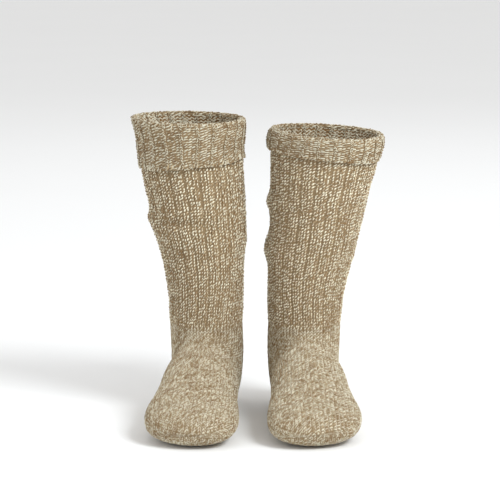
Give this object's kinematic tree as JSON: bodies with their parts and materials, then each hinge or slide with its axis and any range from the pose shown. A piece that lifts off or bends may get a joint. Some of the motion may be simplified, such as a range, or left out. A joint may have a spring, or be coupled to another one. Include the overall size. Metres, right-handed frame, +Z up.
{
  "type": "pair of boot socks",
  "caption": "Pair of thick marled ribbed-knit boot socks in their worn form, cuffs turned down, hollow and open at the top.",
  "frame": {"origin": "middle of the right sock's hollow at the height where the calf fills its cuff, 270 mm above the soles", "axes": "+Z up the legs, -Y towards the toes, +X from the right sock to the left sock"},
  "size_m": [0.2638, 0.2675, 0.3078],
  "materials": {
    "ribbed_wool": "marled cream and brown wool, rib knit, matt with a soft nap",
    "plain_wool": "marled cream and brown wool, plain knit, matt with a soft nap"
  },
  "bodies": {
    "root": {"right_cuff": "ribbed_wool", "right_leg": "ribbed_wool", "right_heel": "plain_wool", "right_foot": "plain_wool", "right_toe": "plain_wool", "left_cuff": "ribbed_wool", "left_leg": "ribbed_wool", "left_heel": "plain_wool", "left_foot": "plain_wool", "left_toe": "plain_wool"}
  },
  "joints": []
}
